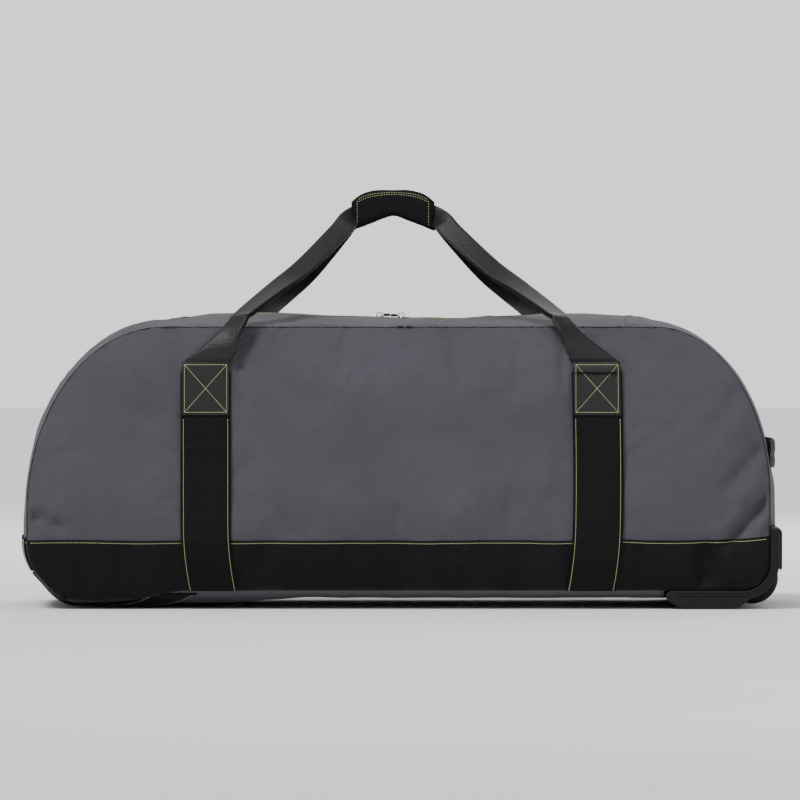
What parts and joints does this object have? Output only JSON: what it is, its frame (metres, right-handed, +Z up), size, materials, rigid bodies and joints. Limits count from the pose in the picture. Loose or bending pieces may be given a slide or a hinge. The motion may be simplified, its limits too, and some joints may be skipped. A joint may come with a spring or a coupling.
{
  "type": "rolling duffel bag",
  "caption": "Long soft wheeled duffel bag with a zipped top, paired web carry handles joined by a padded grip, webbing bands, a dark base and moulded wheel guards.",
  "frame": {"origin": "middle of the footprint, on the floor that the bag rests on", "axes": "+X along the bag towards its wheels, +Y from front to rear, +Z up; the front faces -Y"},
  "size_m": [0.9149, 0.3908, 0.5031],
  "materials": {
    "grey_fabric": "coated woven polyester, fine plain weave, matt",
    "black_fabric": "coated woven polyester, black, matt",
    "webbing": "ribbed polypropylene webbing, black",
    "zip_tape": "woven zip tape with a nylon coil, black",
    "hook_tape": "hook and loop tape, black",
    "slider_metal": "bright nickel-plated die casting",
    "pull_rubber": "moulded soft pull, black",
    "housing_plastic": "moulded, fine matt texture, black",
    "tyre": "solid polyurethane tread, black",
    "hub_plastic": "moulded nylon, dark grey",
    "steel": "zinc-plated steel",
    "board": "sheet polyethylene, black"
  },
  "bodies": {
    "shell": {"band_front_left": "webbing", "band_front_right": "webbing", "band_rear_left": "webbing", "band_rear_right": "webbing", "base_board": "board", "base_front": "black_fabric", "base_left": "black_fabric", "base_rear": "black_fabric", "base_right": "black_fabric", "bottom_panel": "grey_fabric", "front_axle": "steel", "front_axle_clip": "steel", "front_housing_screw_a": "steel", "front_housing_screw_b": "steel", "front_panel": "grey_fabric", "front_wheel_housing": "housing_plastic", "grab_anchor_front": "webbing", "grab_anchor_rear": "webbing", "harness_front": "webbing", "harness_rear": "webbing", "haul_anchor_front": "webbing", "haul_anchor_rear": "webbing", "left_end_panel": "grey_fabric", "leg_front_left": "webbing", "leg_front_right": "webbing", "leg_rear_left": "webbing", "leg_rear_right": "webbing", "rear_axle": "steel", "rear_axle_clip": "steel", "rear_housing_screw_a": "steel", "rear_housing_screw_b": "steel", "rear_panel": "grey_fabric", "rear_wheel_housing": "housing_plastic", "right_end_panel": "grey_fabric", "wheel_end_board": "board", "zip_stop_left": "zip_tape", "zip_stop_right": "zip_tape"},
    "front_wheel": {"front_tyre": "tyre", "front_hub": "hub_plastic", "front_bearing_inner": "steel", "front_bearing_outer": "steel"},
    "rear_wheel": {"rear_tyre": "tyre", "rear_hub": "hub_plastic", "rear_bearing_inner": "steel", "rear_bearing_outer": "steel"},
    "mouth_front": {"top_flap_front": "grey_fabric", "zip_half_front": "zip_tape"},
    "mouth_rear": {"top_flap_rear": "grey_fabric", "zip_half_rear": "zip_tape"},
    "slider_left": {"slider_left": "slider_metal"},
    "slider_right": {"slider_right": "slider_metal"},
    "pull_left": {"pull_tab_left": "pull_rubber"},
    "pull_right": {"pull_tab_right": "pull_rubber"},
    "grip": {"grip_wrap": "black_fabric", "grip_web_front": "webbing", "grip_web_rear": "webbing", "grip_hook_strip": "hook_tape"},
    "grip_flap": {"grip_flap": "black_fabric"},
    "grab": {"grab_handle": "webbing"},
    "haul": {"haul_handle": "webbing"}
  },
  "joints": [
    {"name": "front_wheel_spin", "type": "hinge", "parent": "shell", "child": "front_wheel", "pos_m": [0.4225, -0.129, 0.0362], "axis": [0, 1, 0], "continuous": true},
    {"name": "rear_wheel_spin", "type": "hinge", "parent": "shell", "child": "rear_wheel", "pos_m": [0.4225, 0.129, 0.0362], "axis": [0, 1, 0], "continuous": true},
    {"name": "mouth_open", "type": "hinge", "parent": "shell", "child": "mouth_front", "pos_m": [0, -0.1595, 0.33725], "axis": [-1, 0, 0], "range_deg": [0, 65]},
    {"name": "mouth_open_rear", "type": "hinge", "parent": "shell", "child": "mouth_rear", "pos_m": [0, 0.1595, 0.33725], "axis": [1, 0, 0], "range_deg": [0, 66]},
    {"name": "slider_left_run", "type": "slide", "parent": "shell", "child": "slider_left", "axis": [-0.9998, 0, 0.0219], "range_m": [0, 0.2145]},
    {"name": "slider_right_run", "type": "slide", "parent": "shell", "child": "slider_right", "axis": [0.9998, 0, 0.0206], "range_m": [0, 0.255]},
    {"name": "pull_left_lift", "type": "hinge", "parent": "slider_left", "child": "pull_left", "pos_m": [-0.0258, 0, 0.351], "axis": [0, -1, 0], "range_deg": [0, 165]},
    {"name": "pull_right_lift", "type": "hinge", "parent": "slider_right", "child": "pull_right", "pos_m": [0.0006, 0, 0.35042], "axis": [0, 1, 0], "range_deg": [0, 165]},
    {"name": "grip_drop", "type": "slide", "parent": "shell", "child": "grip", "axis": [0, 0, -1], "range_m": [0, 0.095], "deforming": ["leg_front_left", "leg_front_right", "leg_rear_left", "leg_rear_right"]},
    {"name": "grip_flap_open", "type": "hinge", "parent": "grip", "child": "grip_flap", "pos_m": [-0.0098, -0.0105, 0.5031], "axis": [-1, 0, 0], "range_deg": [0, 110]},
    {"name": "grab_pull_out", "type": "slide", "parent": "shell", "child": "grab", "axis": [1, 0, 0], "range_m": [0, 0.018], "stiffness_N_per_m": 60},
    {"name": "haul_pull_out", "type": "slide", "parent": "shell", "child": "haul", "axis": [-1, 0, 0], "range_m": [0, 0.025], "stiffness_N_per_m": 60}
  ],
  "couplings": [
    {"joint": "mouth_open_rear", "follows": "mouth_open", "ratio": 1},
    {"joint": "slider_left_run", "follows": "mouth_open", "m_per_rad": 0.18864},
    {"joint": "slider_right_run", "follows": "mouth_open", "m_per_rad": 0.22434}
  ]
}
